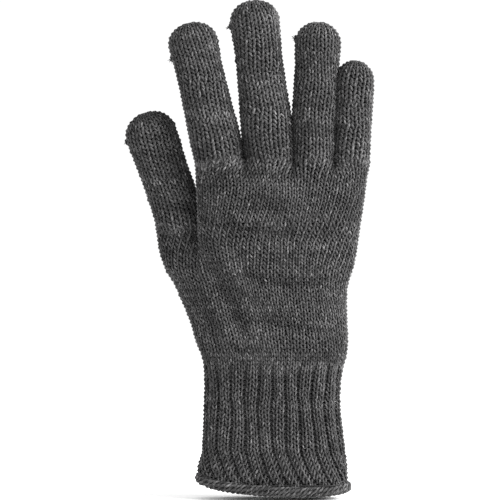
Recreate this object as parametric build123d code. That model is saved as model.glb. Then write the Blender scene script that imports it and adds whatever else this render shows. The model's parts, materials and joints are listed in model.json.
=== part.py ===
"""A seamless knitted glove with a long ribbed cuff, built as a chain of hollow knitted sections.

The glove stands on its mouth: +Z runs from the mouth to the fingertips, -Y is the back of the hand
and +Y the palm side, so every fold closes towards +Y. The thumb is on the -X side.
All lengths are millimetres and all angles are degrees.
"""

from build123d import *
import math
import os

# --- fabric -------------------------------------------------------------------------------------
WALL = 2.6  # thickness of the plain knit
CUFF_WALL = 3.0  # thickness of the ribbed knit
GAP = 0.3  # clearance on each side of a fold
SPARE = 1.0  # degrees that each fold opens past its own limit

# --- cuff ---------------------------------------------------------------------------------------
HEM_ROLL = 5.6  # diameter of the rolled edge round the mouth
CUFF_TOP = 76.0  # height of the wrist fold
CUFF_NECK = 60.0  # height at which the cuff is narrowest
CUFF_HEM_HALF_WIDTH = 41.0
CUFF_NECK_HALF_WIDTH = 37.6
CUFF_DEPTH = 29.0  # palm side to back of the hand
WRIST_FOLD = (-45.0, 60.0)

# --- elastic and thread -------------------------------------------------------------------------
ELASTIC = 0.9  # diameter of the elastic yarn laid inside the cuff
ELASTIC_ROWS = 6
ELASTIC_FIRST = 14.0
ELASTIC_PITCH = 9.0
THREAD = 0.8  # diameter of the thread that holds the rolled edge
TOUCH = 0.06  # how closely a yarn lies against the knit

# --- palm ---------------------------------------------------------------------------------------
# The lower palm is the section that holds all five fingers, and the upper palm holds four.
THUMB_FORK = 153.0  # height at which the thumb leaves the palm
FINGER_FORK = 191.0  # height at which the four fingers leave the palm
PALM_Y = -3.0  # middle of the four-finger palm, front to back
WRIST_HALF_WIDTH = 39.5
WRIST_HALF_DEPTH = CUFF_DEPTH / 2


def spaced(low, high, stations):
    """Turns each station's first number from a share of the way up into a height."""
    return [(low + share * (high - low), *sizes) for share, *sizes in stations]


# Each station: share of the way up, left edge, right edge, left half depth, right half depth,
# left y, right y
LOWER_PALM = spaced(CUFF_TOP, THUMB_FORK, [
    (0.0, -WRIST_HALF_WIDTH, WRIST_HALF_WIDTH, WRIST_HALF_DEPTH, WRIST_HALF_DEPTH, 0.0, 0.0),
    (0.31, -47.0, 40.9, 15.0, 14.0, 1.5, -1.0),
    (0.60, -57.0, 42.5, 15.5, 13.5, 3.5, -2.0),
    (0.81, -63.5, 46.0, 16.0, 13.0, 4.5, -2.5),
    (1.0, -65.5, 48.7, 16.0, 12.5, 5.0, PALM_Y),
])
UPPER_PALM = spaced(THUMB_FORK + WALL, FINGER_FORK - WALL, [
    (0.0, -42.3, 48.9, 12.3, 12.5, PALM_Y, PALM_Y),
    (0.5, -43.0, 51.5, 12.3, 12.5, PALM_Y, PALM_Y),
    (1.0, -44.4, 53.8, 12.3, 12.3, PALM_Y, PALM_Y),
])

# --- fingers ------------------------------------------------------------------------------------
KNUCKLE_FOLD = (-15.0, 60.0)
MIDDLE_FOLD = (0.0, 66.0)
TIP_RATIO = 0.5  # the end fold follows the middle fold
TIP_FOLD = (0.0, MIDDLE_FOLD[1] * TIP_RATIO)
# Where each fold lies along the finger, as a share of its length from the fork
KNUCKLE_AT = 0.12
MIDDLE_AT = 0.42
TIP_AT = 0.68
FOLD_TURN = 0.75  # how far the fold axes lean with their finger, as a share of its lean
# Base x, lean to the left, length, half widths at the fork and the tip, and how far below the tip
# its knotted yarn end sits
FINGERS = {
    "index": {"x": -29.6, "lean": 12.9, "length": 79.0, "base": 12.5, "end": 12.8, "knot": 17.0},
    "middle": {"x": -2.0, "lean": 6.5, "length": 88.6, "base": 12.5, "end": 12.6, "knot": 12.8},
    "ring": {"x": 22.7, "lean": -1.4, "length": 76.4, "base": 10.9, "end": 12.0, "knot": 10.5},
    "little": {"x": 43.9, "lean": -2.6, "length": 53.8, "base": 8.9, "end": 9.7, "knot": 10.5},
}
FINGER_HALF_DEPTH = 9.8
LITTLE_HALF_DEPTH = 8.6
DOME = 12.0  # length of the rounded fingertip
DOME_STEPS = (25.0, 48.0, 68.0, 82.0)
ROOT_OVERLAP = 14.0  # how far a finger's outline runs below its fork before it is cut level

# --- thumb --------------------------------------------------------------------------------------
THUMB_X = -51.4
THUMB_Y = 9.9
THUMB_LEAN = 19.0
THUMB_LENGTH = 66.0
THUMB_BASE_HALF_WIDTH = 12.6
THUMB_END_HALF_WIDTH = 14.2
THUMB_HALF_DEPTH = 10.3
THUMB_KNOT = 12.0  # how far below the tip its yarn end sits
THUMB_ROOT_AT = 0.18
THUMB_MIDDLE_AT = 0.56
THUMB_ROOT_FOLD = (-10.0, 26.0)
THUMB_MIDDLE_FOLD = (0.0, 48.0)

# --- yarn ends ----------------------------------------------------------------------------------
KNOT = 3.6  # diameter of the knotted yarn end at each fingertip

REACH = 30.0  # how far a fold's faces run out from its axis
SPAN = 400.0  # longer than the glove


def written(shape, node):
    """Saves one sub-part under its node name."""
    shape.label = node
    export_step(shape, os.path.join("parts", node + ".step"))


# --- flat sections of the palm and cuff ---------------------------------------------------------
def section(station, inset=0.0):
    """The outline of a flattened tube at one station: two round edges joined by straight faces."""
    z, left, right, r_left, r_right, y_left, y_right = station
    left_round = Pos(left + r_left, y_left) * Circle(r_left - inset)
    right_round = Pos(right - r_right, y_right) * Circle(r_right - inset)
    return Pos(0, 0, z) * make_hull([*left_round.edges(), *right_round.edges()])


def flat_tube(stations, wall):
    """A flattened hollow tube, open at both ends."""
    outer = loft([section(s) for s in stations])
    inner = loft([section(s, wall) for s in stations])
    return outer - inner


# --- folds --------------------------------------------------------------------------------------
# A fold's own frame has its axis along X, the parent section below it and the child above it.
def prism(points):
    """Sweeps a closed YZ outline along X, past both sides of the part."""
    return extrude(Plane.YZ * Polygon(*points, align=None), amount=SPAN, both=True)


def slopes(fold):
    """How steeply a fold's faces leave its axis, at the back and at the palm side.

    Half of the travel is cut from each of the two sections, so that they never meet.
    """
    low, high = fold
    return math.tan(math.radians(SPARE - low / 2)), math.tan(math.radians(SPARE + high / 2))


def one_side(fold, sign):
    """Everything above a fold (sign 1) or below it (sign -1)."""
    back, palm = slopes(fold)
    face = [(-REACH, GAP + REACH * back), (0.0, GAP), (REACH, GAP + REACH * palm)]
    outline = [*face, (REACH, SPAN), (-REACH, SPAN)]
    return prism([(y, sign * z) for y, z in outline])


def crease(fold, side):
    """The wedge of fabric that crumples inside a fold: side 1 is the palm, -1 the back."""
    slope = slopes(fold)[max(side, 0)]
    high = REACH * slope - GAP
    return prism([(side * 2.2 * GAP / slope, 0.0), (side * REACH, high), (side * REACH, -high)])


# --- cuff ---------------------------------------------------------------------------------------
def cuff_station(z, half_width):
    half_depth = CUFF_DEPTH / 2
    return (z, -half_width, half_width, half_depth, half_depth, 0.0, 0.0)


CUFF = [
    cuff_station(HEM_ROLL, CUFF_HEM_HALF_WIDTH),
    cuff_station(CUFF_NECK, CUFF_NECK_HALF_WIDTH),
    cuff_station(CUFF_TOP, WRIST_HALF_WIDTH),
]


def cuff_half_width(z):
    """Outer half width of the cuff, by straight lines between its stations."""
    for low, high in zip(CUFF, CUFF[1:]):
        if z <= high[0]:
            share = (z - low[0]) / (high[0] - low[0])
            return low[2] + share * (high[2] - low[2])
    return CUFF[-1][2]


def ring(z, half_width, half_depth, diameter):
    """A closed loop of yarn round a flattened tube."""
    straight = half_width - half_depth
    path = Pos(0, 0, z) * SlotCenterToCenter(2 * straight, 2 * half_depth)
    wire = path.face().outer_wire()
    start = Plane(origin=wire @ 0, z_dir=wire % 0)
    return sweep(start * Circle(diameter / 2), path=wire)


def cuff_parts():
    """The ribbed cuff with its fold, its rolled edge, and the yarns that hold both."""
    wall = flat_tube(CUFF[:2], CUFF_WALL) + flat_tube(CUFF[1:], CUFF_WALL)
    roll_centre = CUFF_HEM_HALF_WIDTH - CUFF_WALL / 2
    roll_depth = CUFF_DEPTH / 2 - CUFF_WALL / 2
    thread_half_width = CUFF_HEM_HALF_WIDTH + THREAD / 2 + TOUCH
    thread_half_depth = CUFF_DEPTH / 2 + THREAD / 2 + TOUCH
    elastic = []
    for row in range(ELASTIC_ROWS):
        z = ELASTIC_FIRST + row * ELASTIC_PITCH
        inside = CUFF_WALL + ELASTIC / 2 + TOUCH
        elastic.append(ring(z, cuff_half_width(z) - inside, CUFF_DEPTH / 2 - inside, ELASTIC))
    return {
        "ribbed_cuff": wall & (WRIST * one_side(WRIST_FOLD, -1)),
        "rolled_hem": ring(HEM_ROLL / 2, roll_centre, roll_depth, HEM_ROLL),
        "hem_thread": ring(HEM_ROLL + THREAD, thread_half_width, thread_half_depth, THREAD),
        "cuff_elastic": Compound(children=elastic),
    }


# --- palm ---------------------------------------------------------------------------------------
def palm_parts():
    """The five-finger and four-finger sections, and the two forks that close them."""
    lower = flat_tube(LOWER_PALM, WALL)
    wrist_bottom = (CUFF_TOP - REACH, *LOWER_PALM[0][1:])
    wrist = flat_tube([wrist_bottom, LOWER_PALM[0]], WALL) + lower
    thumb_fork = extrude(section(LOWER_PALM[-1]), WALL)
    thumb_fork -= extrude(section(UPPER_PALM[0], WALL), -2 * WALL)
    thumb_fork -= THUMB["frame"].location * finger_core(THUMB, WALL)
    finger_fork = extrude(section(UPPER_PALM[-1]), WALL)
    for name in FINGERS:
        sizes = finger_sizes(name)
        finger_fork -= sizes["frame"].location * finger_core(sizes, WALL)
    return {
        "lower_palm": lower & (WRIST * one_side(WRIST_FOLD, 1)),
        "wrist_crease_palm": wrist & (WRIST * crease(WRIST_FOLD, 1)),
        "wrist_crease_back": wrist & (WRIST * crease(WRIST_FOLD, -1)),
        "thumb_fork": thumb_fork,
        "upper_palm": flat_tube(UPPER_PALM, WALL),
        "finger_fork": finger_fork,
    }


# --- fingers and thumb --------------------------------------------------------------------------
def leaning_frame(x, y, z, lean):
    """A frame at a finger's base: its Z runs up the finger, and its Y stays the glove's."""
    a = math.radians(lean)
    return Plane(
        origin=(x, y, z),
        x_dir=(math.cos(a), 0, math.sin(a)),
        z_dir=(-math.sin(a), 0, math.cos(a)),
    )


def finger_sizes(name):
    """A finger's sizes, and where it folds: closing fingers draw together, but don't cross."""
    f = FINGERS[name]
    frame = leaning_frame(f["x"], PALM_Y, FINGER_FORK, f["lean"])
    folds = []
    for share, fold in ((KNUCKLE_AT, KNUCKLE_FOLD), (MIDDLE_AT, MIDDLE_FOLD), (TIP_AT, TIP_FOLD)):
        centre = frame.from_local_coords((0, 0, share * f["length"]))
        folds.append((leaning_frame(*centre, FOLD_TURN * f["lean"]).location, fold))
    return {
        "length": f["length"],
        "base": f["base"],
        "end": f["end"],
        "knot": f["knot"],
        "depth": LITTLE_HALF_DEPTH if name == "little" else FINGER_HALF_DEPTH,
        "frame": frame,
        "folds": folds,
        "sections": ["root", "lower", "middle", "tip"],
        "creases": ["knuckle_crease", "middle_crease", "tip_crease"],
        "yarn_end_turn": 90.0 if name == "little" else 180.0,
    }


def thumb_sizes():
    """The thumb's sizes: it folds square to its own length."""
    frame = leaning_frame(THUMB_X, THUMB_Y, THUMB_FORK + WALL, THUMB_LEAN)
    folds = []
    for share, fold in ((THUMB_ROOT_AT, THUMB_ROOT_FOLD), (THUMB_MIDDLE_AT, THUMB_MIDDLE_FOLD)):
        folds.append((frame.location * Pos(0, 0, share * THUMB_LENGTH), fold))
    return {
        "length": THUMB_LENGTH,
        "base": THUMB_BASE_HALF_WIDTH,
        "end": THUMB_END_HALF_WIDTH,
        "knot": THUMB_KNOT,
        "depth": THUMB_HALF_DEPTH,
        "frame": frame,
        "folds": folds,
        "sections": ["root", "lower", "tip"],
        "creases": ["root_crease", "middle_crease"],
        "yarn_end_turn": 180.0,
    }


def finger_solid(sizes, inset=0.0):
    """A finger's outside, or its hollow when inset: an oval tube with a domed end."""
    dome_at = sizes["length"] - inset - DOME
    straight = [(-ROOT_OVERLAP, sizes["base"], 1.0), (0.0, sizes["base"], 1.0)]
    dome = [(dome_at, sizes["end"], 1.0)]
    for degrees in DOME_STEPS:
        turn = math.radians(degrees)
        dome.append((dome_at + DOME * math.sin(turn), sizes["end"], math.cos(turn)))

    def outline(height, half_width, share):
        a = max(half_width * share - inset, 0.6)
        b = max(sizes["depth"] * share - inset, 0.5)
        return Pos(0, 0, height) * Ellipse(a, b)

    tube = loft([outline(*s) for s in [*straight, dome[0]]], ruled=True)
    return tube + loft([outline(*s) for s in dome], ruled=True)


def finger_core(sizes, inset):
    """The straight hollow of a finger's base, for the hole that it leaves in a fork."""
    outline = Ellipse(sizes["base"] - inset, sizes["depth"] - inset)
    return extrude(outline, amount=ROOT_OVERLAP, both=True)


def finger_parts(prefix, sizes, floor):
    """One finger, divided only where it folds, standing on its fork at height floor."""
    shell = sizes["frame"].location * (finger_solid(sizes) - finger_solid(sizes, WALL))
    shell &= Pos(0, 0, floor + SPAN / 2) * Box(SPAN, SPAN, SPAN)
    parts = {}
    last = len(sizes["folds"])
    for i, name in enumerate(sizes["sections"]):
        piece = shell
        if i > 0:
            where, fold = sizes["folds"][i - 1]
            piece = piece & (where * one_side(fold, 1))
        if i < last:
            where, fold = sizes["folds"][i]
            piece = piece & (where * one_side(fold, -1))
        parts[prefix + "_" + name] = piece
    for (where, fold), name in zip(sizes["folds"], sizes["creases"]):
        parts[prefix + "_" + name] = shell & (where * crease(fold, 1))
    parts[prefix + "_yarn_end"] = yarn_end(sizes)
    return parts


def yarn_end(sizes):
    """The knotted end of the yarn that closes a fingertip, just below the dome."""
    turn = math.radians(sizes["yarn_end_turn"])
    beside = KNOT / 2 - 0.2
    x = (sizes["end"] + beside) * math.cos(turn)
    y = (sizes["depth"] + beside) * math.sin(turn)
    ball = Pos(x, y, sizes["length"] - sizes["knot"]) * Sphere(KNOT / 2)
    return sizes["frame"].location * (ball - finger_solid(sizes, -TOUCH))


THUMB = thumb_sizes()
WRIST = Pos(0, 0, CUFF_TOP)


def glove():
    """Every sub-part of the glove, by node name."""
    parts = {**cuff_parts(), **palm_parts()}
    for name in FINGERS:
        parts.update(finger_parts(name, finger_sizes(name), FINGER_FORK))
    parts.update(finger_parts("thumb", THUMB, THUMB_FORK + WALL))
    return parts


os.makedirs("parts", exist_ok=True)
for node, shape in glove().items():
    written(shape, node)
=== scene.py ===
"""Knits a seamless work glove, stitch by stitch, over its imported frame."""

import json
import math

import bpy
import numpy as np
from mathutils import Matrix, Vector


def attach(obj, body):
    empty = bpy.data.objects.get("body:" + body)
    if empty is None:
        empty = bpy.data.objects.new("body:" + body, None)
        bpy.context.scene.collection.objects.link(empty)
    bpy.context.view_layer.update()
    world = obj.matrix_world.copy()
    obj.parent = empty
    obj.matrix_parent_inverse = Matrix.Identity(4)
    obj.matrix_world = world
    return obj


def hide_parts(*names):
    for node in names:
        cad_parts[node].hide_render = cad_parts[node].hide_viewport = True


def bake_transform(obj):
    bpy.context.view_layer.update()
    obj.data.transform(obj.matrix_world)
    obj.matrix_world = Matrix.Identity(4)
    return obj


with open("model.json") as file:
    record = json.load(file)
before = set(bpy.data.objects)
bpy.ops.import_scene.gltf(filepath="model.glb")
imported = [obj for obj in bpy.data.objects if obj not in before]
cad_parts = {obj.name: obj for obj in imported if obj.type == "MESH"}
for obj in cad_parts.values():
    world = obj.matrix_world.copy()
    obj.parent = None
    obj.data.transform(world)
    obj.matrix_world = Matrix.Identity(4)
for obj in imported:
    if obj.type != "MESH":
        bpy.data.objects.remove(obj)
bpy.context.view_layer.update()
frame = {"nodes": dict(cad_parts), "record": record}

bl_info = {
    "name": "Knitted glove",
    "version": (1, 0, 0),
    "blender": (4, 5, 0),
    "location": "3D View > Sidebar > Glove",
    "description": "Knits a seamless work glove, stitch by stitch, over its packed frame",
    "category": "Object",
}

MM = 0.001
TAU = 2 * math.pi

# Shapes are in millimetres: +Z up the fingers, -Y the back of the hand, -X the thumb side.
WRIST = 76.0
THUMB_FORK = 153.0
FINGER_FORK = 191.0
PALM_Y = -3.0
TILES = (0.0, 0.283, 0.566, 0.803, 1.0)  # how the four fingers share the palm's width
LEFT_EDGE = [(-6, -41.2), (6, -41.4), (12, -41.2), (18, -39.5), (28, -38.8), (50, -37.9),
             (68, -37.8), (78, -38.8), (86, -42.0), (95, -44.6), (110, -50.6), (119, -54.6),
             (127, -59.4), (138, -63.2), (153, -65.6), (160, -67.6)]
RIGHT_EDGE = [(-6, 42.0), (8, 41.4), (18, 40.4), (28, 39.4), (58, 36.9), (68, 37.8), (80, 40.6), (100, 40.8),
              (118, 41.0), (132, 45.2), (145, 47), (162, 49.6), (180, 52.2), (195, 54.4)]
PALM_LEFT = [(100, -40), (153, -41.4), (166, -41.8), (180, -42.4), (195, -43.2)]
HALF_DEPTH = [(-6, 15.0), (10, 15.2), (40, 14.4), (76, 14.4), (110, 15.2), (153, 13.2),
              (175, 12.4), (198, 11.6)]
THUMB_SIDE_Y = [(-6, 0), (76, 0), (115, 3.5), (153, 9.9), (160, 10)]
# Each digit's root, lean in degrees, length, half depth, columns of stitches, how far its yarn end
# is below the tip, and its half widths as (distance up it, size)
FINGERS = {
    "index": {"x": -30.2, "lean": 13.0, "length": 75.9, "depth": 9.9, "wales": 17, "knot": 16.6,
              "widths": [(-10, 12.6), (0, 12.9), (5, 13.1), (12, 13.1), (24, 12.6), (36, 12.2),
                         (55, 12.2), (66, 12.9), (90, 12.9)]},
    "middle": {"x": -1.6, "lean": 6.5, "length": 87.2, "depth": 10.0, "wales": 17, "knot": 12.4,
               "widths": [(-10, 12.6), (0, 12.9), (6, 13.4), (16, 13.4), (30, 12.8), (42, 12.2),
                          (62, 12.0), (76, 12.8), (99, 12.8)]},
    "ring": {"x": 22.9, "lean": -2.2, "length": 74.5, "depth": 9.8, "wales": 18, "knot": 8.8,
             "widths": [(-10, 10.9), (0, 11.2), (6, 11.6), (20, 11.9), (36, 11.6), (52, 11.3),
                        (64, 11.8), (90, 11.8)]},
    "little": {"x": 43.9, "lean": -2.6, "length": 52.8, "depth": 8.8, "wales": 14, "knot": 10.0,
               "widths": [(-10, 9.3), (0, 9.4), (20, 9.6), (42, 9.9), (60, 9.9)]},
}
THUMB = {"x": -51.2, "lean": 19.2, "length": 65.6, "depth": 10.6, "wales": 19, "knot": 11.5,
         "widths": [(-10, 13.2), (0, 13.2), (18, 12.7), (34, 12.7), (48, 13.3), (70, 13.4)]}
THUMB_Y = 9.9
THUMB_ACROSS = 28.5  # how much of the palm's left the thumb takes up at its fork
DOME = 12.5  # height of a fingertip's rounding
OUTSIDE = -99  # stands for no surface, in front of or behind everything

CUFF_FIRST_ROW = 6.4
CUFF_PIECE_TOP = 54.0  # where the cuff's piece ends and the wrist's begins
WRIST_PIECE_TOP = 98.0
RIB_FADE = (63.0, 80.0)  # where the ribs gather into plain knit
RIB_WIDTHS = (0.43, 0.43, 0.14)  # two knit wales and the purl valley, as shares of a rib
VALLEY_CENTRE = 0.93
HEM_HEIGHT = 2.9

SIDES = 5  # round the yarn
STEPS = 10  # points along the yarn for each stitch
YARN, FLEECE = 0, 1  # material slots
NO_POINTS = np.zeros((0, 3))  # for faces that join points laid before
LINING_DEPTH = 1.25  # below the skin
LINING_THICKNESS = 0.7
THINNEST_YARN = 0.42
YARN_STRIPS = 0.2  # the bake map's yarn starts here, above the lining's bands
CAMERA_SPAN = 0.2805  # metres that the camera takes in at the glove


# --- shape helpers ---
def ease(value, low, high):
    """0 below low, 1 above high, and a smooth rise between them."""
    t = np.clip((value - low) / (high - low), 0, 1)
    return t * t * (3 - 2 * t)


def along(height, stations):
    """A smooth line through a few (height, size) stations."""
    z, size = np.array(stations, float).T
    slope = np.gradient(size, z)
    i = np.clip(np.searchsorted(z, height) - 1, 0, len(z) - 2)
    step = z[i + 1] - z[i]
    t = np.clip((height - z[i]) / step, 0, 1)
    near = (1 + 2 * t) * (1 - t) ** 2 * size[i] + t * (1 - t) ** 2 * step * slope[i]
    far = t * t * (3 - 2 * t) * size[i + 1] + t * t * (t - 1) * step * slope[i + 1]
    return near + far


def swell(x, left, right, half_depth, power):
    """Half the thickness, at x, of a rounded flat shape between left and right."""
    share = np.minimum(np.abs((2 * x - left - right) / (right - left)), 1)
    return half_depth * (1 - share**power) ** (1 / power)


def evenly(outline, count):
    """Spaces a closed outline's points evenly round it."""
    closed = np.vstack([outline, outline[:1]])
    run = np.concatenate([[0], np.cumsum(np.linalg.norm(np.diff(closed, axis=0), axis=1))])
    at = np.linspace(0, run[-1], count, endpoint=False)
    return np.column_stack([np.interp(at, run, closed[:, k]) for k in range(closed.shape[1])])


def soft_max(one, two, reach):
    """The larger of two, with a fillet of about reach where they cross."""
    both = np.maximum(reach - np.abs(one - two), 0) / reach
    return np.maximum(one, two) + both * both * reach / 4


def unit(vectors):
    """The same directions, each one long."""
    return vectors / np.maximum(np.linalg.norm(vectors, axis=-1, keepdims=True), 1e-12)


class Skin:
    """The smooth surface that a section is knitted on, read by how far round and how far up."""

    def __init__(self, heights, rings):
        self.heights = np.asarray(heights, float)
        self.points = np.asarray(rings, float)
        around = np.roll(self.points, -1, 1) - np.roll(self.points, 1, 1)
        upward = np.gradient(self.points, axis=0)
        self.normals = unit(np.cross(around, upward))
        self.girth = np.linalg.norm(around, axis=2).sum(axis=1) / 2

    def read(self, grid, around, height):
        """Reads a grid of the skin between its points."""
        low = np.clip(np.searchsorted(self.heights, height) - 1, 0, len(self.heights) - 2)
        t = (height - self.heights[low]) / (self.heights[low + 1] - self.heights[low])
        count = grid.shape[1]
        at = np.mod(around, 1.0) * count
        left = np.floor(at).astype(int) % count
        right = (left + 1) % count
        s = (at - np.floor(at))[..., None]
        t = t[..., None]
        lower = grid[low, left] * (1 - s) + grid[low, right] * s
        upper = grid[low + 1, left] * (1 - s) + grid[low + 1, right] * s
        return lower * (1 - t) + upper * t

    def at(self, around, height, lift=0.0):
        """Points on the skin, raised off it by lift, and the way out of it there."""
        normal = unit(self.read(self.normals, around, height))
        return self.read(self.points, around, height) + normal * np.asarray(lift)[..., None], normal


# --- the glove's skins ---
def outline_ring(z, left, right, faces, count=480):
    """An outline from its front and back faces: left edge, front, right edge, back."""
    turn = np.linspace(0, TAU, 900, endpoint=False)
    x = (left + right) / 2 - (right - left) / 2 * np.cos(turn)
    front, back = faces(x)
    y = np.where(turn < math.pi, front, back)
    return evenly(np.column_stack([x, y, np.full_like(x, z)]), count)


def lower_ring(z):
    """The cuff and the five-finger palm at one height."""
    left, right = along(z, LEFT_EDGE), along(z, RIGHT_EDGE)
    depth, side_y = along(z, HALF_DEPTH), along(z, THUMB_SIDE_Y)
    palm_y = PALM_Y * ease(z, WRIST, THUMB_FORK)
    split = ease(z, 116, 151)

    def faces(x):
        share = (x - left) / (right - left)
        centre = side_y * (1 - share) ** 1.3 + palm_y * share
        half = swell(x, left, right, depth * (1 + 0.08 * split * (1 - share)), 3.1 - 0.6 * ease(z, 78, 112))
        front, back = centre - half, centre + half
        if split > 0:
            palm_left = along(z, PALM_LEFT)
            palm = swell(x, palm_left, right, depth, 2.5)
            thumb = swell(x, left, left + THUMB_ACROSS, THUMB["depth"], 2.1)
            in_palm, in_thumb = x > palm_left, x < left + THUMB_ACROSS
            palm_front = np.where(in_palm, palm - palm_y, OUTSIDE)
            palm_back = np.where(in_palm, palm + palm_y, OUTSIDE)
            thumb_front = np.where(in_thumb, thumb - side_y, OUTSIDE)
            thumb_back = np.where(in_thumb, thumb + side_y, OUTSIDE)
            reach = 2 + 8 * (1 - split)
            front = front * (1 - split) - soft_max(palm_front, thumb_front, reach) * split
            back = back * (1 - split) + soft_max(palm_back, thumb_back, reach) * split
        return front, back

    ring = outline_ring(z, left, right, faces)
    ring[:, 2] += 0.0018 * (ring[:, 0] - 14) ** 2 * (1 - ease(z, 4, 46))
    return ring


def upper_ring(z):
    """The four-finger palm at one height, creased between the fingers at its top."""
    left, right = along(z, PALM_LEFT), along(z, RIGHT_EDGE)
    depth = along(z, HALF_DEPTH)
    crease = 0.96 * ease(z, 176, 191)
    gap = 1.5 * ease(z, 183, 190)
    edges = [left + share * (right - left) for share in TILES]

    def faces(x):
        palm = swell(x, left, right, depth, 2.5)
        fingers = np.full_like(x, 1.2)
        for name, low, high in zip(FINGERS, edges, edges[1:]):
            root_depth = 1.13 * FINGERS[name]["depth"]
            fingers = np.maximum(fingers, swell(x, low + gap, high - gap, root_depth, 2.4))
        fingers = np.minimum(fingers, swell(x, left, right, 40, 2.5))
        half = palm * (1 - crease) + fingers * crease
        return PALM_Y - half, PALM_Y + half

    return outline_ring(z, left, right, faces)


# Soft folds of a worn glove: a line from (x, z) to (x, z), how wide, and how far it stands out
BACK_FOLDS = [
    ((5, 121), (22, 119), 2.8, -2.9), ((-2, 127), (44, 123), 4.0, 2.4), ((-24, 117), (-2, 112), 3.2, 1.8),
    ((-20, 157), (48, 152), 4.2, 2.2), ((-22, 149), (44, 144), 3.4, -2.2), ((-10, 139), (30, 138), 3.6, 1.5),
    ((-42, 151), (-18, 92), 3.2, -1.7), ((-48, 142), (-25, 94), 4.6, 1.2), ((-35, 152), (-12, 100), 4.0, 1.1),
    ((-10, 85), (40, 84), 3.6, 1.5), ((-36, 84), (-16, 87), 3.0, 1.5), ((-30, 76), (38, 75), 3.0, -1.0),
    ((-32, 173), (20, 167), 4.6, 1.4), ((8, 102), (40, 107), 3.4, 1.8), ((6, 95), (40, 93), 2.8, -1.8),
    ((14, 171), (42, 162), 3.6, -1.8), ((-30, 164), (0, 160), 3.0, -1.4), ((20, 112), (44, 112), 3.0, 1.4),
]
PALM_FOLDS = [
    ((-40, 128), (8, 150), 4.4, -1.6), ((-10, 160), (46, 168), 4.8, -1.5), ((-30, 112), (30, 120), 5.5, 1.1),
    ((-34, 82), (38, 80), 3.4, 1.3), ((-34, 72), (38, 73), 3.0, -1.1), ((-20, 98), (40, 96), 4.2, -1.0),
]


def wrinkled(points, z):
    """Raises and lowers one ring of the body along its soft folds."""
    x = points[:, 0]
    out = points.copy()
    for side, folds in ((-1, BACK_FOLDS), (1, PALM_FOLDS)):
        amount = np.zeros_like(x)
        for (x0, z0), (x1, z1), width, height in folds:
            run = math.hypot(x1 - x0, z1 - z0)
            ahead = ((x - x0) * (x1 - x0) + (z - z0) * (z1 - z0)) / run
            aside = ((z - z0) * (x1 - x0) - (x - x0) * (z1 - z0)) / run
            past = np.maximum(np.maximum(-ahead, ahead - run), 0) / (1.6 * width)
            bow = aside + 1.2 * np.sin(0.09 * ahead + z0)
            amount += height * np.exp(-((bow / width) ** 2) - past**2)
        facing = np.clip(side * (points[:, 1] - np.mean(points[:, 1])) / 6.0, 0, 1)
        out[:, 1] += side * amount * facing
    return out


def body_skins():
    """The skins below and above the thumb's fork."""
    low = np.arange(-4.0, THUMB_FORK + 2.1, 1.0)
    high = np.arange(THUMB_FORK - 2.0, FINGER_FORK + 8.1, 1.0)
    return (Skin(low, [wrinkled(lower_ring(z), z) for z in low]),
            Skin(high, [wrinkled(upper_ring(z), z) for z in high]))


def finger_skin(sizes, base_y, base_z):
    """A finger: a leaning oval tube, a little deeper at its root, that ends in a rounded tip."""
    length, depth = sizes["length"], sizes["depth"]
    straight = length - DOME
    run = DOME * math.pi / 2 * 0.93
    heights = np.concatenate([np.arange(-10.0, straight, 1.0), straight + np.linspace(0, run, 18)])
    lean = math.radians(sizes["lean"])
    turn = np.linspace(0, TAU, 360, endpoint=False)
    rings = []
    for v in heights:
        phi = max(0.0, (v - straight) / run) * math.pi / 2 * 0.965
        s = v if phi == 0 else straight + DOME * math.sin(phi)
        half_width = along(s, sizes["widths"]) * (1 - math.sin(phi) ** 2.25) ** (1 / 2.25)
        half_depth = depth * math.cos(phi) ** 0.9 * (1 + 0.05 * ease(s, straight - 14, straight))
        half_depth *= 1 + 0.13 * (1 - ease(s, -4, 28))
        x = -half_width * np.sign(np.cos(turn)) * np.abs(np.cos(turn)) ** 0.86
        y = -half_depth * np.sign(np.sin(turn)) * np.abs(np.sin(turn)) ** 0.86
        ring = np.column_stack([
            sizes["x"] - s * math.sin(lean) + x * math.cos(lean),
            base_y + y,
            base_z + s * math.cos(lean) + x * math.sin(lean),
        ])
        rings.append(evenly(ring, 160))
    return Skin(heights, rings), straight + run


# --- knitting ---
def corner_map(*corners):
    """Each face's corners, in turn, from arrays of their two map values."""
    return np.stack([np.stack(corner, -1) for corner in corners], -2).astype(float)


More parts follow.
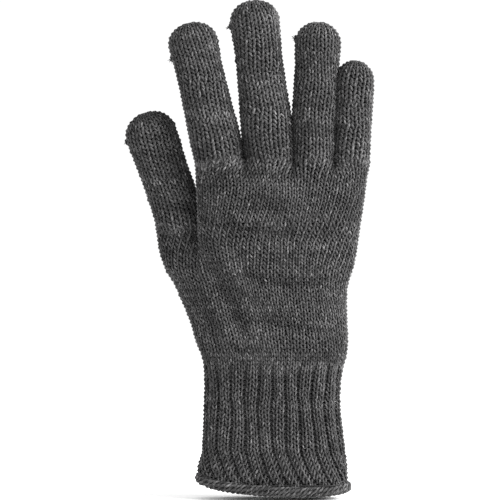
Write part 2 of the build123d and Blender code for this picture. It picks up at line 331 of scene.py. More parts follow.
class Piece:
    """Collects the faces of one knitted piece and their two maps."""

    def __init__(self):
        self.points, self.faces, self.yarn_map, self.bake_map, self.slots = [], [], [], [], []
        self.count = 0

    def add(self, points, faces, yarn_map, bake_map, slot):
        self.points.append(points.reshape(-1, 3))
        self.faces.append(faces.reshape(-1, 4) + self.count)
        self.yarn_map.append(yarn_map.reshape(-1, 2))
        self.bake_map.append(bake_map.reshape(-1, 2))
        self.slots.append(np.full(len(faces.reshape(-1, 4)), slot))
        self.count += len(self.points[-1])

    def build(self, name, materials):
        """Makes the Blender object, in metres."""
        points = np.vstack(self.points) * MM
        faces = np.vstack(self.faces)
        mesh = bpy.data.meshes.new(name)
        mesh.vertices.add(len(points))
        mesh.vertices.foreach_set("co", points.ravel())
        mesh.loops.add(faces.size)
        mesh.loops.foreach_set("vertex_index", faces.ravel().astype(np.int32))
        mesh.polygons.add(len(faces))
        mesh.polygons.foreach_set("loop_start", np.arange(0, faces.size, 4, dtype=np.int32))
        mesh.polygons.foreach_set("material_index", np.concatenate(self.slots).astype(np.int32))
        mesh.polygons.foreach_set("use_smooth", np.ones(len(faces), bool))
        for title, parts in (("yarn", self.yarn_map), ("OFBake", self.bake_map)):
            layer = mesh.uv_layers.new(name=title)
            layer.data.foreach_set("uv", np.vstack(parts).astype(np.float32).ravel())
        mesh.update(calc_edges=True)
        mesh.validate()
        for material in materials:
            mesh.materials.append(material)
        piece = bpy.data.objects.new(name, mesh)
        bpy.context.scene.collection.objects.link(piece)
        return piece


def sweep(piece, path, normal, radius, slot=YARN, closed=True, share=(YARN_STRIPS, 1.0), sides=SIDES):
    """Lays yarn along each row of a path. Its bake map is a stack of straight strips."""
    rows, count = path.shape[:2]
    ahead, behind = np.roll(path, -1, 1), np.roll(path, 1, 1)
    if not closed:
        ahead[:, -1], behind[:, 0] = path[:, -1], path[:, 0]
    tangent = unit(ahead - behind)
    side = unit(np.cross(tangent, normal))
    up = np.cross(side, tangent)
    angle = TAU * np.arange(sides) / sides
    radius = np.broadcast_to(radius, (rows, count))[..., None, None]
    spoke = np.cos(angle)[:, None] * up[:, :, None] + np.sin(angle)[:, None] * side[:, :, None]
    points = path[:, :, None] + radius * spoke
    spans = count if closed else count - 1
    row, at, edge = np.meshgrid(np.arange(rows), np.arange(spans), np.arange(sides), indexing="ij")
    after, beside = (at + 1) % count, (edge + 1) % sides

    def corner(a, e):
        return (row * count + a) * sides + e

    faces = np.stack([corner(at, edge), corner(at, beside), corner(after, beside), corner(after, edge)], -1)
    step = np.linalg.norm(np.diff(path, axis=1), axis=2)
    gap = np.linalg.norm(path[:, :1] - path[:, -1:], axis=2)
    run = np.concatenate([np.zeros((rows, 1)), np.cumsum(step, axis=1)], 1)
    run = np.concatenate([run, run[:, -1:] + gap], 1)
    start = 61.7 * np.arange(rows)[:, None, None] % 997.0  # so no two rows' marl lines up
    near, far = start + run[row, at], start + run[row, at + 1]
    low, high = edge / sides, (edge + 1) / sides
    yarn_map = corner_map((near, low), (near, high), (far, high), (far, low))
    girth = TAU * float(np.mean(radius))
    folds = max(1, round(math.sqrt(float(run[0, -1]) / (girth * rows))))
    strip = np.minimum(at * folds // spans, folds - 1)
    left, right = at * folds / spans - strip, (at + 1) * folds / spans - strip
    tall = (share[1] - share[0]) / (rows * folds)
    base = share[0] + (row * folds + strip) * tall
    y_low, y_high = base + tall * (0.06 + 0.88 * low), base + tall * (0.06 + 0.88 * high)
    x_low, x_high = 0.002 + 0.996 * left, 0.002 + 0.996 * right
    bake_map = corner_map((x_low, y_low), (x_low, y_high), (x_high, y_high), (x_high, y_low))
    piece.add(points, faces, yarn_map, bake_map, slot)


def lining(piece, skin, low, high, depth, wales, rows, capped=False):
    """A thin closed wall just under the loops: the fleece side of the knit, in the fleece that is painted
    darker than the yarn as painted shade between the loops.
    """
    around = np.arange(0, 1, 1 / (3 * wales))
    heights = np.linspace(low, high, max(4, int((high - low) / 2)))
    u, v = np.meshgrid(around, heights)
    outer, _ = skin.at(u, v, np.full_like(u, -depth))
    inner, _ = skin.at(u, v, np.full_like(u, -depth - LINING_THICKNESS))
    n_v, n_u = u.shape
    points = np.stack([outer, inner])

    def corner(layer, i, j):
        return (layer * n_v + i) * n_u + j % n_u

    i, j = np.meshgrid(np.arange(n_v - 1), np.arange(n_u), indexing="ij")
    out = np.stack([corner(0, i, j), corner(0, i, j + 1), corner(0, i + 1, j + 1), corner(0, i + 1, j)], -1)
    back = np.stack([corner(1, i, j + 1), corner(1, i, j), corner(1, i + 1, j), corner(1, i + 1, j + 1)], -1)
    k = np.arange(n_u)
    foot = np.stack([corner(1, 0, k), corner(1, 0, k + 1), corner(0, 0, k + 1), corner(0, 0, k)], -1)
    top = n_v - 1
    head = np.stack([corner(0, top, k), corner(0, top, k + 1), corner(1, top, k + 1), corner(1, top, k)], -1)

    def maps(places, lift):
        """Corner maps in wales and courses, and the same squeezed into one band of the bake map."""
        corners = corner_map(*places)
        yarn = corners * [wales / n_u, rows / top]
        bake = corners * [0.996 / n_u, 0.085 / top] + [0.002, lift]
        return yarn, bake

    rim = ((k, 0 * k), (k + 1, 0 * k), (k + 1, np.ones_like(k)), (k, np.ones_like(k)))
    start = piece.count
    for faces, corners, lift in (
        (out, ((j, i), (j + 1, i), (j + 1, i + 1), (j, i + 1)), 0.003),
        (back, ((j + 1, i), (j, i), (j, i + 1), (j + 1, i + 1)), 0.098),
        (foot, rim, 0.186),
        (head, rim, 0.192),
    ):
        yarn, bake = maps(corners, lift)
        fresh = points if faces is out else NO_POINTS
        piece.add(fresh, faces - (piece.count - start), yarn, bake, FLEECE)
    if capped:
        cap(piece, start, n_v, n_u)


def cap(piece, start, n_v, n_u):
    """Closes the slit at the top of a fingertip's lining, front to back."""
    for layer in (0, 1):
        base = start + (layer * n_v + n_v - 1) * n_u
        j = np.arange(n_u // 2 - 1)
        faces = np.stack([base + j, base + j + 1, base + n_u - 2 - j, base + (n_u - 1 - j) % n_u], -1)
        if layer:
            faces = faces[:, ::-1]
        corners = corner_map((j, 0 * j), (j + 1, 0 * j), (j + 1, 0 * j + 1), (j, 0 * j + 1))
        bake = corners * [1 / n_u, 0.004] + [0.0, 0.19]
        piece.add(NO_POINTS, faces - piece.count, corners, bake, FLEECE)


def knit(piece, skin, rows, wales, pitch, shift=None, rib=None, sink=None, seed=1):
    """Knits closed rows of loops over a skin.

    rib gives each row the depth of its valleys: every third wale then narrows, sinks and turns to
    purl. sink gives each row how far it is drawn into the skin.
    """
    yarn = bpy.context.scene.glove_yarn
    rng = np.random.default_rng(seed)
    rows = np.asarray(rows, float)
    n = len(rows)
    pitch = np.broadcast_to(pitch, rows.shape)[:, None]
    step = np.arange(wales * STEPS)
    wale, phase = step // STEPS, TAU * (step % STEPS + 0.5) / STEPS
    inside = phase / TAU + yarn.loop_spread * np.sin(2 * phase)
    at = np.broadcast_to((wale + inside) / wales, (n, len(step)))
    turned = np.zeros((n, len(step)))
    valley = np.zeros((n, len(step)))
    if rib is not None:
        full = bpy.context.scene.glove_gauge.rib_depth / MM
        firm = np.clip(np.asarray(rib, float) / full, 0, 1)[:, None]
        width = np.tile(RIB_WIDTHS, wales // 3)
        edge = np.concatenate([[0], np.cumsum(width)])
        ribbed = (edge[wale] + width[wale] * inside) / edge[-1]
        at = at * (1 - firm) + ribbed * firm
        turned = 2.0 * firm * (wale % 3 == 2)
        across = np.abs((ribbed * wales / 3 - VALLEY_CENTRE + 0.5) % 1.0 - 0.5)
        valley = full * firm * (0.5 + 0.5 * np.cos(TAU * across)) ** 2.8
    loose = np.repeat(rng.normal(0, 1, (n, wales, 4)), STEPS, axis=1)
    slack = np.repeat(rng.normal(0, 1, (n, wales)), STEPS, axis=1)
    column = np.repeat(rng.normal(0, 1, wales), STEPS)
    drift = 0.0 if shift is None else shift(rows[:, None], at)
    sway = 0.2 * np.sin(0.12 * rows[:, None] + round(wales / 15) * TAU * at + seed) / wales
    hang = np.sin(phase / 2)[None]
    around = at + drift + sway + (0.035 * loose[..., 0] * hang + 0.01 * column) / wales
    reach = yarn.loop_reach * pitch * (1 + 0.06 * loose[..., 1])
    height = rows[:, None] - reach * np.cos(phase)[None] + 0.07 * pitch * loose[..., 2] * hang
    lift = -yarn.loop_depth / MM * np.cos(2 * phase)[None] * (1 - turned) + 0.1 * loose[..., 3] - valley
    if sink is not None:
        lift = lift - np.asarray(sink, float)[:, None]
    height = np.clip(height, skin.heights[0], skin.heights[-1] - 1e-6)
    path, normal = skin.at(around, height, lift)
    wide = np.interp(rows, skin.heights, skin.girth)[:, None] / wales
    if rib is not None:
        wide = np.where(turned > 0.5, wide * 0.9, wide * 1.3)
    radius = np.maximum(yarn.fullness * wide / 2 * (1 + 0.07 * slack), THINNEST_YARN)
    sweep(piece, path, normal, radius * (1 - 0.14 * np.cos(phase * 2)[None]))


def section(name, skin, rows, wales, pitch, edges, parts, rib=None, shift=None, sink=None, seed=1,
            capped=False):
    """One knitted piece: its loops and its lining, with its finish and the nodes it stands for."""
    piece = Piece()
    knit(piece, skin, rows, wales, pitch, shift=shift, rib=rib, sink=sink, seed=seed)
    deep = LINING_DEPTH if rib is None else LINING_DEPTH + 0.8 * float(np.max(rib))
    lining(piece, skin, edges[0], edges[1], deep, wales, len(rows), capped=capped)
    made = piece.build(name, [yarn_material(), fleece_material()])
    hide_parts(*parts)
    return made


# --- materials ---
class Wire:
    """One output of a shader node, used like a number in sums."""

    def __init__(self, shader, socket):
        self.shader, self.socket = shader, socket

    def math(self, operation, *others):
        inputs = dict(enumerate((self, *others)))
        return self.shader.node("ShaderNodeMath", {"operation": operation}, inputs)

    def __add__(self, other):
        return self.math("ADD", other)

    def __sub__(self, other):
        return self.math("SUBTRACT", other)

    def __mul__(self, other):
        return self.math("MULTIPLY", other)


class Shader:
    """One material's node tree."""

    def __init__(self, name):
        self.material = bpy.data.materials.new(name)
        self.material.use_nodes = True
        self.tree = self.material.node_tree
        self.surface = self.tree.nodes["Principled BSDF"]

    def node(self, kind, settings, inputs, output=0):
        """Adds a node: its settings first, then the values or wires of its sockets."""
        made = self.tree.nodes.new(kind)
        for key, value in settings.items():
            if key == "stops":
                ramp = made.color_ramp
                while len(ramp.elements) < len(value):
                    ramp.elements.new(1.0)
                for element, (position, colour) in zip(ramp.elements, value):
                    element.position, element.color = position, (*colour, 1.0)
            else:
                setattr(made, key, value)
        for key, value in inputs.items():
            self.feed(made.inputs[key], value)
        return Wire(self, made.outputs[output])

    def yarn_map(self):
        """The two halves of the yarn map: how far along, and how far round or up."""
        uv = self.node("ShaderNodeUVMap", {"uv_map": "yarn"}, {})
        first = self.node("ShaderNodeSeparateXYZ", {}, {0: uv})
        return first, Wire(self, first.socket.node.outputs[1])

    def feed(self, socket, value):
        """Sets a socket to a wire or a plain value."""
        if isinstance(value, Wire):
            self.tree.links.new(value.socket, socket)
        else:
            socket.default_value = value

    def finish(self, **sockets):
        """Sets the surface's own sockets, by name with _ for a space."""
        for key, value in sockets.items():
            self.feed(self.surface.inputs[key.replace("_", " ")], value)
        return self.material


def made_once(make):
    """Keeps the first material that a function makes."""

    def found():
        name = make.__name__.replace("_material", "")
        return bpy.data.materials.get(name) or make(name)

    found.__name__ = make.__name__
    return found


def grey(level):
    """A grey that is barely warm."""
    return (level, level * 0.985, level * 0.99)


@made_once
def yarn_material(name="yarn"):
    """Marl yarn: three twisted plies of light and dark fibre, with a soft fuzz, and painted shade on the side
    of the yarn that faces into the knit.
    """
    yarn = bpy.context.scene.glove_yarn
    s = Shader(name)
    run, around = s.yarn_map()
    place = s.node("ShaderNodeTexCoord", {}, {}, "Object")
    helix = around * 3.0 + run * (3.0 * MM / yarn.twist_pitch)
    ply = helix.math("FLOOR")
    ridge = (helix * math.pi).math("SINE").math("ABSOLUTE")
    strand = s.node("ShaderNodeCombineXYZ", {}, {0: run * 0.16, 1: ply * 3.7, 2: 0.0})
    marl = s.node("ShaderNodeTexNoise", {}, {"Vector": strand, "Scale": 1.0, "Detail": 1.0})
    fibre = s.node("ShaderNodeTexNoise", {},
                   {"Vector": place, "Scale": 1500.0, "Detail": 3.0, "Roughness": 0.65})
    stripe = s.node("ShaderNodeCombineXYZ", {}, {0: run * 0.55 + helix * 0.4, 1: helix * 5.0, 2: 0.0})
    streak = s.node("ShaderNodeTexNoise", {}, {"Vector": stripe, "Scale": 1.0, "Detail": 2.0})
    cloud = s.node("ShaderNodeTexNoise", {}, {"Vector": place, "Scale": 70.0, "Detail": 2.0})
    # painted shade: the yarn is painted darker on its side that faces into the knit and lighter on its outer
    # side
    painted_inner_shade = (around * TAU).math("COSINE")
    stretched = s.node("ShaderNodeVectorMath", {"operation": "MULTIPLY"},
                       {0: place, 1: (22.0, 22.0, 170.0)})
    band = s.node("ShaderNodeTexNoise", {}, {"Vector": stretched, "Scale": 1.0, "Detail": 1.0})
    mix = (marl * 1.2 + streak * 0.7 + fibre * 0.6 + cloud * 0.25 + band * 0.26 + painted_inner_shade * 0.2) - 1.16
    dark, light = yarn.dark_fibre[0], yarn.light_fibre[0]
    middle = dark * 0.62 + light * 0.38
    stops = [(0.20, grey(dark * 0.7)), (0.42, grey(dark * 1.7)), (0.56, grey(middle * 0.6)),
             (0.70, grey(middle)), (0.90, grey(light))]
    colour = s.node("ShaderNodeValToRGB", {"stops": stops}, {"Fac": mix})
    height = ridge * 0.5 + streak * 0.35 + fibre * 0.4
    bump = s.node("ShaderNodeBump", {}, {"Strength": 0.8, "Distance": 0.00035, "Height": height})
    rough = fibre * 0.2 + 0.8
    return s.finish(Base_Color=colour, Roughness=rough, Normal=bump, Sheen_Weight=0.08, Sheen_Roughness=0.5,
                    Sheen_Tint=(0.8, 0.8, 0.82, 1), Specular_IOR_Level=0.15)


@made_once
def fleece_material(name="fleece"):
    """The back of the knit: rows of purl bumps in the same yarn, painted darker than the yarn as painted
    shade between the loops, with the bumps' crests painted lighter than their hollows.
    """
    yarn = bpy.context.scene.glove_yarn
    s = Shader(name)
    wale, course = s.yarn_map()
    place = s.node("ShaderNodeTexCoord", {}, {}, "Object")
    arch = (wale * TAU).math("SINE")
    bumps = ((course + arch * 0.18) * TAU).math("SINE") * 0.5 + 0.5
    fibre = s.node("ShaderNodeTexNoise", {},
                   {"Vector": place, "Scale": 1300.0, "Detail": 3.0, "Roughness": 0.65})
    # painted shade: the fleece is painted much darker than the yarn it is made of, and lighter on its bump
    # crests than in their hollows
    mix = fibre * 0.62 + bumps * 0.26 + 0.05
    dark, light = yarn.dark_fibre[0], yarn.light_fibre[0]
    stops = [(0.36, grey(dark * 0.4)), (0.5, grey(dark * 0.9)), (0.6, grey(dark * 0.8 + light * 0.1)),
             (0.72, grey(light * 0.5))]
    colour = s.node("ShaderNodeValToRGB", {"stops": stops}, {"Fac": mix})
    height = bumps * 0.8 + fibre * 0.4
    bump = s.node("ShaderNodeBump", {}, {"Strength": 0.8, "Distance": 0.0006, "Height": height})
    return s.finish(Base_Color=colour, Roughness=fibre * 0.15 + 0.85, Normal=bump, Sheen_Weight=0.06,
                    Sheen_Roughness=0.6, Specular_IOR_Level=0.1)


def elastic_material(name="elastic", dark=0.02, light=0.12):
    """Covered elastic yarn, or thread: dark, under a fine spiral of lighter thread."""
    s = Shader(name)
    place = s.node("ShaderNodeTexCoord", {}, {}, "Object")
    wave = s.node("ShaderNodeTexWave", {"wave_type": "BANDS", "bands_direction": "DIAGONAL"},
                  {"Vector": place, "Scale": 380.0, "Distortion": 0.6, "Detail": 1.0}, "Fac")
    fine = s.node("ShaderNodeTexNoise", {}, {"Vector": place, "Scale": 2500.0, "Detail": 2.0})
    colour = s.node("ShaderNodeValToRGB", {"stops": [(0.2, grey(dark)), (0.75, grey(light))]},
                    {"Fac": wave * 0.7 + fine * 0.3})
    bump = s.node("ShaderNodeBump", {}, {"Strength": 0.6, "Distance": 0.0002, "Height": wave})
    return s.finish(Base_Color=colour, Roughness=fine * 0.2 + 0.6, Normal=bump, Specular_IOR_Level=0.3)


@made_once
def floor_material(name="floor"):
    """Plain pale floor with the faintest grain."""
    stage = bpy.context.scene.glove_stage
    s = Shader(name)
    place = s.node("ShaderNodeTexCoord", {}, {}, "Object")
    grain = s.node("ShaderNodeTexNoise", {}, {"Vector": place, "Scale": 3.0, "Detail": 2.0})
    pale = tuple(stage.floor_colour)
    stops = [(0.3, tuple(part * 0.985 for part in pale)), (0.7, pale)]
    colour = s.node("ShaderNodeValToRGB", {"stops": stops}, {"Fac": grain})
    return s.finish(Base_Color=colour, Roughness=0.9, Specular_IOR_Level=0.1)


# --- settings ---
class GloveYarn(bpy.types.PropertyGroup):
    """The yarn and how it is looped."""

    fullness: bpy.props.FloatProperty(
        name="Fullness", description="Diameter of the yarn in the knit, as a share of a wale's width",
        default=0.335, min=0.2, max=0.5)
    loop_spread: bpy.props.FloatProperty(
        name="Loop spread", description="How far each loop's head is wider than its neck, in wales",
        default=0.235, min=0.0, max=0.3)
    loop_reach: bpy.props.FloatProperty(
        name="Loop reach", description="Half height of a loop, in courses", default=0.76, min=0.5, max=1.0)
    loop_depth: bpy.props.FloatProperty(
        name="Loop depth", description="How far the legs stand proud of the heads", default=0.00085,
        min=0.0, max=0.001, unit="LENGTH", precision=5)
    twist_pitch: bpy.props.FloatProperty(
        name="Twist pitch", description="Length of one turn of the plies", default=0.0062,
        min=0.002, max=0.02, unit="LENGTH", precision=4)
    dark_fibre: bpy.props.FloatVectorProperty(
        name="Dark fibre", description="Colour of the dark fibres", default=(0.013, 0.013, 0.0135),
        min=0, max=1, subtype="COLOR")
    light_fibre: bpy.props.FloatVectorProperty(
        name="Light fibre", description="Colour of the light fibres", default=(0.17, 0.17, 0.17),
        min=0, max=1, subtype="COLOR")


class GloveGauge(bpy.types.PropertyGroup):
    """How coarse the knit is."""

    cuff_course: bpy.props.FloatProperty(
        name="Cuff course", description="Height of one row in the cuff", default=0.00245,
        unit="LENGTH", precision=5)
    palm_course: bpy.props.FloatProperty(
        name="Palm course", description="Height of one row in the palm", default=0.0022,
        unit="LENGTH", precision=5)
    finger_course: bpy.props.FloatProperty(
        name="Finger course", description="Height of one row in a finger", default=0.0024,
        unit="LENGTH", precision=5)
    rib_depth: bpy.props.FloatProperty(
        name="Rib depth", description="How deep the valleys between the ribs are", default=0.0017,
        unit="LENGTH", precision=4)
    ribs: bpy.props.IntProperty(name="Ribs", description="Ribs round the cuff", default=24)
    palm_wales: bpy.props.IntProperty(
        name="Palm wales", description="Columns of stitches round the palm above the wrist", default=68)
    wrist_fewer: bpy.props.IntProperty(
        name="Fewer at the wrist", description="How many wales fewer the wrist has", default=10)
    upper_fewer: bpy.props.IntProperty(
        name="Fewer above the thumb", description="How many wales fewer the upper palm has", default=8)


class GloveStage(bpy.types.PropertyGroup):
    """Floor, lights and camera."""

    floor_colour: bpy.props.FloatVectorProperty(
        name="Floor", description="Colour of the floor", default=(0.985, 0.985, 0.985),
        min=0, max=1, subtype="COLOR")
    key_power: bpy.props.FloatProperty(
        name="Key light", description="Power of the main light", default=86.0, unit="POWER")
    fill_power: bpy.props.FloatProperty(
        name="Fill light", description="Power of the light opposite it", default=10.0, unit="POWER")
    sky: bpy.props.FloatProperty(
        name="Backdrop", description="Brightness of the white surround behind the glove", default=1.05)
    front_sky: bpy.props.FloatProperty(
        name="Front", description="Brightness of the surround in front of the glove", default=0.75)
    camera_distance: bpy.props.FloatProperty(
        name="Camera distance", description="Camera to glove", default=1.6, unit="LENGTH")


# --- pieces ---
def slant(z, at):
    """How far round the ribs have drifted: they lean near the hem."""
    return 0.068 * (np.clip(27.0 - z, 0, None) / 27.0) ** 1.45 + 0 * at


def palm_slant(z, at):
    """The wales lean towards the little finger up the palm, then fan out with the fingers."""
    across = np.where(at < 0.5, at, 1 - at)
    lean = np.interp(across, [0.0, 0.08, 0.21, 0.34, 0.5], [0.2, 0.23, 0.115, -0.035, -0.045])
    up = np.clip(z - 171, 0, None)
    fan = lean * up * ease(up, 0, 12) / 205.0
    return 0.037 * ease(z, 126, 172) - np.where(at < 0.5, fan, -fan)


def rib_fade(z):
    """The ribs' depth over the cuff: they gather into plain knit at the wrist."""
    return bpy.context.scene.glove_gauge.rib_depth / MM * (1 - ease(z, *RIB_FADE))


class GLOVE_OT_body(bpy.types.Operator):
    """Knit the ribbed cuff, the wrist and both palm sections"""

    bl_idname = "glove.body"
    bl_label = "Knit cuff and palm"

    def execute(self, context):
        gauge = context.scene.glove_gauge
        low, high = body_skins()
        wales = 3 * gauge.ribs
        step, palm_step = gauge.cuff_course / MM, gauge.palm_course / MM
        rows = np.arange(CUFF_FIRST_ROW, RIB_FADE[1], step)
        cuff_rows, wrist_rows = rows[rows < CUFF_PIECE_TOP], rows[rows >= CUFF_PIECE_TOP]
        pinch = 0.9 * np.clip((9.5 - cuff_rows) / 3.0, 0, 1)
        cuff = section("ribbed_cuff", low, cuff_rows, wales, step, (3.0, cuff_rows[-1] + step / 2),
                       ["ribbed_cuff"], rib=rib_fade(cuff_rows), shift=slant, sink=pinch, seed=11)
        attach(cuff, "cuff")
        first = wrist_rows[-1] + (step + palm_step) / 2
        palm_rows = np.arange(first, THUMB_FORK + 0.5, palm_step)
        near = palm_rows[palm_rows < WRIST_PIECE_TOP]
        far = palm_rows[palm_rows >= WRIST_PIECE_TOP]
        piece = Piece()
        knit(piece, low, wrist_rows, wales, step, shift=slant, rib=rib_fade(wrist_rows), seed=12)
        top = sweep_share(piece, 0.72)
        near_wales = gauge.palm_wales - gauge.wrist_fewer
        knit(piece, low, near, near_wales, palm_step, shift=palm_slant, seed=13)
        sweep_share(piece, 0.28, top)
        lining(piece, low, cuff_rows[-1] + step / 2, near[-1] + palm_step / 2, 1.9, wales, 20)
        wrist = piece.build("wrist", [yarn_material(), fleece_material()])
        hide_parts("wrist_crease_palm", "wrist_crease_back")
        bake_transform(wrist)
        lower = section("lower_palm", low, far, gauge.palm_wales, palm_step,
                        (near[-1] + palm_step / 2, far[-1] + palm_step / 2),
                        ["lower_palm", "thumb_fork"], shift=palm_slant, seed=14)
        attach(lower, "palm")
        rows = np.arange(far[-1] + palm_step, FINGER_FORK + 2.6, palm_step)
        upper_wales = gauge.palm_wales - gauge.upper_fewer
        upper = section("upper_palm", high, rows, upper_wales, palm_step,
                        (rows[0] - palm_step, rows[-1] + 1.0), ["upper_palm", "finger_fork"],
                        shift=palm_slant, sink=1.9 * ease(rows, 187.5, 192.5), seed=15)
        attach(upper, "palm")
        return {"FINISHED"}


def sweep_share(piece, share, start=YARN_STRIPS):
    """Squeezes the last strips that were laid into their share of the bake map."""
    strips = piece.bake_map[-1]
    strips[:, 1] = start + (strips[:, 1] - YARN_STRIPS) * share
    return start + 0.8 * share


def finger(name, sizes, base_y, base_z, bodies, folds, parts, seed, first=-5.2):
    """A finger or thumb, as one piece for each fold, met half-way between the folds."""
    gauge = bpy.context.scene.glove_gauge
    skin, length = finger_skin(sizes, base_y, base_z)
    step = gauge.finger_course / MM
    rows = np.arange(first, length, step)
    step = (length + 0.3 * step - first) / len(rows)
    rows = first + step * np.arange(len(rows))
    ends = [(one + two) / 2 for one, two in zip(folds, folds[1:])]
    cuts = [-math.inf, *ends, math.inf]
    lean = math.radians(sizes["lean"])
    for i, (low, high) in enumerate(zip(cuts, cuts[1:])):
        mine = rows[(rows >= low) & (rows < high)]
        last = i == len(folds) - 1
        top = length - 0.05 if last else mine[-1] + step / 2
        bottom = mine[0] - (3.0 if i == 0 else step / 2)
        sink = 1.6 * (1 - ease(mine, first, -1.0))
        made = section(f"{name}_knit_{i + 1}", skin, mine, sizes["wales"], step, (bottom, top),
                       parts[i], sink=sink, seed=seed + i, capped=last)
        centre = folds[i]
        reach = min(6.5, 0.42 * (folds[1] - folds[0]))
        span = []
        for s in (centre - reach, centre + reach):
            if name == "thumb":
                span.append((sizes["x"] - s * math.sin(lean), base_y, base_z + s * math.cos(lean)))
            else:
                span.append((0, 0, base_z + s * math.cos(lean)))
        start, end = (tuple(value * MM for value in point) for point in span)
        bodies[i + 1]
        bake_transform(made)


def joint_height(name):
    """Height of a joint, in millimetres."""
    found = [j for j in frame["record"]["behaviour"]["joints"] if j["name"] == name]
    return found[0]["pos_m"][2] / MM


class GLOVE_OT_fingers(bpy.types.Operator):
    """Knit the four fingers"""

    bl_idname = "glove.fingers"
    bl_label = "Knit fingers"

    def execute(self, context):
        for k, (name, sizes) in enumerate(FINGERS.items()):
            joints = [f"{name}_knuckle", f"{name}_middle_fold", f"{name}_tip_fold"]
            lean = math.radians(sizes["lean"])
            folds = [(joint_height(joint) - FINGER_FORK) / math.cos(lean) for joint in joints]
            parts = [[f"{name}_root", f"{name}_knuckle_crease"],
                     [f"{name}_lower", f"{name}_middle_crease"],
                     [f"{name}_middle", f"{name}_tip_crease", f"{name}_tip"]]
            bodies = ["palm", f"{name}_lower", f"{name}_middle", f"{name}_tip"]
            finger(name, sizes, PALM_Y, FINGER_FORK, bodies, folds, parts, 30 + 10 * k)
        return {"FINISHED"}


class GLOVE_OT_thumb(bpy.types.Operator):
    """Knit the thumb"""

    bl_idname = "glove.thumb"
    bl_label = "Knit thumb"

    def execute(self, context):
        lean = math.radians(THUMB["lean"])
        folds = [(joint_height(joint) - THUMB_FORK) / math.cos(lean) for joint in
                 ("thumb_root_fold", "thumb_middle_fold")]
        parts = [["thumb_root", "thumb_root_crease"], ["thumb_lower", "thumb_middle_crease", "thumb_tip"]]
        finger("thumb", THUMB, THUMB_Y, THUMB_FORK, ["palm", "thumb_lower", "thumb_tip"], folds, parts, 80)
        return {"FINISHED"}


def splayed(points):
    """The hem flares at both ends of the mouth, where the roll turns a tight corner."""
    out = points.copy()
    x = points[:, 0]
    left, right = ease(-x, 34, 41), ease(x, 36, 42)
    out[:, 0] += 0.4 * right - 0.3 * left
    out[:, 2] += 1.6 * left + 0.8 * right
    return out


class GLOVE_OT_hem(bpy.types.Operator):
    """Roll the hem: the knit curls over, so its rows run slanting round the roll"""

    bl_idname = "glove.hem"
    bl_label = "Roll hem"

    def execute(self, context):
        low, _ = body_skins()
        starts, wraps, steps = 7, 11, 48
        count = wraps * steps
        rng = np.random.default_rng(21)
        piece = Piece()
        paths, spokes = [], []
        for k in range(starts):
            turn = TAU * (np.arange(count) / steps + k / starts)
            loop = TAU * np.arange(count) / 8
            around = np.arange(count) / count
            centre, normal = low.at(around, np.full(count, HEM_HEIGHT), np.full(count, -0.6))
            centre = splayed(centre)
            up = np.array([0.0, 0.0, 1.0])
            spoke = np.cos(turn)[:, None] * normal + np.sin(turn)[:, None] * up
            uneven = np.repeat(rng.normal(0, 0.03, count // 8), 8)[:, None]
            puff = 1 + 0.11 * np.cos(loop)[:, None] + uneven
            weave = 0.34 * np.sin(loop)[:, None] * unit(np.gradient(centre, axis=0))
            paths.append(centre + spoke * [2.05, 2.05, 2.3] * puff + weave)
            spokes.append(spoke)
        sweep(piece, np.stack(paths), np.stack(spokes), 0.78)
        # The roll's core is laid in the fleece, which is painted darker as painted shade inside the roll.
        roll = np.arange(240) / 240
        centre, normal = low.at(roll, np.full(240, HEM_HEIGHT), np.full(240, -0.6))
        sweep(piece, splayed(centre)[None], normal[None], 1.6, slot=FLEECE, share=(0.02, 0.18), sides=10)
        hem = piece.build("rolled_hem", [yarn_material(), fleece_material()])
        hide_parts("rolled_hem")
        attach(hem, "cuff")
        return {"FINISHED"}


class GLOVE_OT_yarn_ends(bpy.types.Operator):
    """Knot the cut yarn end at each fingertip"""

    bl_idname = "glove.yarn_ends"
    bl_label = "Knot yarn ends"

    def execute(self, context):
        rng = np.random.default_rng(5)
        for name in (*FINGERS, "thumb"):
            if name == "thumb":
                sizes, place = THUMB, (THUMB_Y, THUMB_FORK)
            else:
                sizes, place = FINGERS[name], (PALM_Y, FINGER_FORK)
            skin, _ = finger_skin(sizes, *place)
            around = 0.75 if name == "little" else 0.0  # palm side, or thumb side
            height = sizes["length"] - sizes["knot"]
            seat, out = skin.at(np.array([around]), np.array([height]), np.array([1.1]))
            across = unit(np.cross(out[0], [0.0, 1.0, 0.3]))
            third = np.cross(out[0], across)
            t = TAU * np.arange(48) / 48
            knot = np.column_stack([np.sin(t) + 2 * np.sin(2 * t), np.cos(t) - 2 * np.cos(2 * t),
                                    -np.sin(3 * t)])
            turn = np.stack([across, third, out[0]])
            piece = Piece()
            sweep(piece, (seat[0] + knot @ turn * 0.46)[None], unit(knot @ turn + [0, 0.01, 0])[None],
                  0.68, share=(YARN_STRIPS, 0.7))
            for k in range(9):
                aim = unit(out[0] * (0.9 + 0.5 * rng.random()) + rng.normal(0, 0.55, 3))
                aim = aim * (0.5 if name == "thumb" else 1.0)
                bend = rng.normal(0, 0.35, 3)
                s = np.linspace(0, 1, 6)[:, None]
                tuft = seat[0] + aim * s * (1.9 + 1.0 * rng.random()) + bend * s * s
                low = 0.7 + 0.03 * k
                sweep(piece, tuft[None], np.broadcast_to(across, (1, 6, 3)), 0.28 * (1 - 0.7 * s.T),
                      closed=False, share=(low, low + 0.03), sides=4)
            made = piece.build(f"{name}_yarn_end", [yarn_material()])
            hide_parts(f"{name}_yarn_end")
            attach(made, f"{name}_tip")
        return {"FINISHED"}


class GLOVE_OT_elastic(bpy.types.Operator):
    """Finish the elastic yarn and the hem's thread, which keep their frame shapes"""

    bl_idname = "glove.elastic"
    bl_label = "Finish elastic and thread"

    def execute(self, context):
        for name, material in (("cuff_elastic", elastic_material()),
                               # the hem thread is painted nearly black as painted shade, standing in for the
                               # shaded groove above the hem
                               ("hem_thread", elastic_material("thread_painted_shade", 0.002, 0.012))):
            node = frame["nodes"][name]
            node.data.materials.clear()
            node.data.materials.append(material)
        return {"FINISHED"}


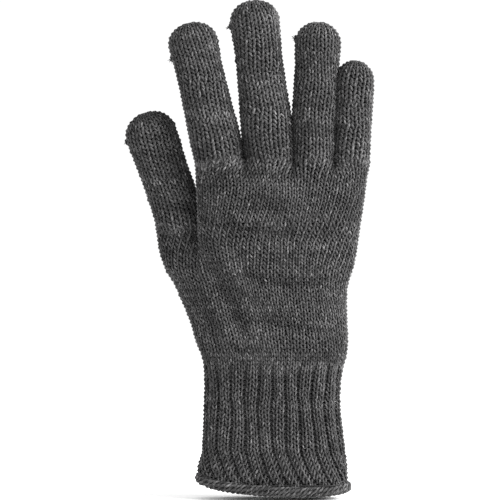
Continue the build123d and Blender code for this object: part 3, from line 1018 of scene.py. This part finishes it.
class GLOVE_OT_stage(bpy.types.Operator):
    """Lay the floor and set the lights and the camera"""

    bl_idname = "glove.stage"
    bl_label = "Set stage"

    def execute(self, context):
        stage = context.scene.glove_stage
        bpy.ops.object.select_all(action="DESELECT")
        bpy.ops.mesh.primitive_plane_add(size=5.0, location=(0, 0, -0.002))
        floor = context.object
        floor.name = "floor"
        bpy.ops.object.transform_apply(location=True)
        floor.data.materials.append(floor_material())
        world = bpy.data.worlds.new("surround")
        context.scene.world = world
        world.use_nodes = True
        tree = world.node_tree
        tree.nodes["Background"].inputs["Color"].default_value = (1, 1, 1, 1)
        place = tree.nodes.new("ShaderNodeTexCoord")
        facing = tree.nodes.new("ShaderNodeVectorMath")
        facing.operation = "DOT_PRODUCT"
        facing.inputs[1].default_value = (0.12, 0.82, 0.55)
        shade = tree.nodes.new("ShaderNodeMapRange")
        shade.interpolation_type = "SMOOTHSTEP"
        shade.inputs["From Min"].default_value = -0.9
        shade.inputs["From Max"].default_value = 0.62
        shade.inputs["To Min"].default_value = stage.front_sky
        shade.inputs["To Max"].default_value = stage.sky
        tree.links.new(place.outputs["Generated"], facing.inputs[0])
        tree.links.new(facing.outputs["Value"], shade.inputs["Value"])
        tree.links.new(shade.outputs["Result"], tree.nodes["Background"].inputs["Strength"])
        for name, spot, power in (
            ("key", (1.42, -0.66, 0.80), stage.key_power),
            ("fill", (-1.35, -0.3, 0.45), stage.fill_power),
        ):
            light = bpy.data.lights.new(name, "AREA")
            light.size = 0.9
            light.energy = power
            lamp = bpy.data.objects.new(name, light)
            context.scene.collection.objects.link(lamp)
            lamp.location = spot
            aim = Vector((0, 0, 0.14)) - Vector(spot)
            lamp.rotation_euler = aim.to_track_quat("-Z", "Y").to_euler()
        camera = bpy.data.cameras.new("camera")
        camera.lens = 36.0 * stage.camera_distance / CAMERA_SPAN
        camera.clip_end = 20
        view = bpy.data.objects.new("camera", camera)
        context.scene.collection.objects.link(view)
        view.location = (-0.0129, -stage.camera_distance - 0.008, 0.1382)
        view.rotation_euler = (math.pi / 2, 0, 0)
        context.scene.camera = view
        context.scene.view_settings.view_transform = "Standard"
        return {"FINISHED"}


class GLOVE_PT_panel(bpy.types.Panel):
    """Lists the glove's settings and its operators"""

    bl_idname = "GLOVE_PT_panel"
    bl_label = "Knitted glove"
    bl_space_type = "VIEW_3D"
    bl_region_type = "UI"
    bl_category = "Glove"

    def draw(self, context):
        for group in (context.scene.glove_yarn, context.scene.glove_gauge, context.scene.glove_stage):
            box = self.layout.box()
            for key in group.__annotations__:
                box.prop(group, key)
        for operator in OPERATORS:
            self.layout.operator(operator.bl_idname)


OPERATORS = (GLOVE_OT_body, GLOVE_OT_fingers, GLOVE_OT_thumb, GLOVE_OT_hem, GLOVE_OT_yarn_ends,
             GLOVE_OT_elastic, GLOVE_OT_stage)
GROUPS = {"glove_yarn": GloveYarn, "glove_gauge": GloveGauge, "glove_stage": GloveStage}


def register():
    for group in GROUPS.values():
        bpy.utils.register_class(group)
    for name, group in GROUPS.items():
        setattr(bpy.types.Scene, name, bpy.props.PointerProperty(type=group))
    for kind in (*OPERATORS, GLOVE_PT_panel):
        bpy.utils.register_class(kind)


def unregister():
    for kind in reversed((*OPERATORS, GLOVE_PT_panel)):
        bpy.utils.unregister_class(kind)
    for name, group in GROUPS.items():
        delattr(bpy.types.Scene, name)
        bpy.utils.unregister_class(group)


def main():
    register()
    bpy.ops.glove.body()
    bpy.ops.glove.fingers()
    bpy.ops.glove.thumb()
    bpy.ops.glove.hem()
    bpy.ops.glove.yarn_ends()
    bpy.ops.glove.elastic()
    bpy.ops.glove.stage()


if __name__ == "__main__":
    main()
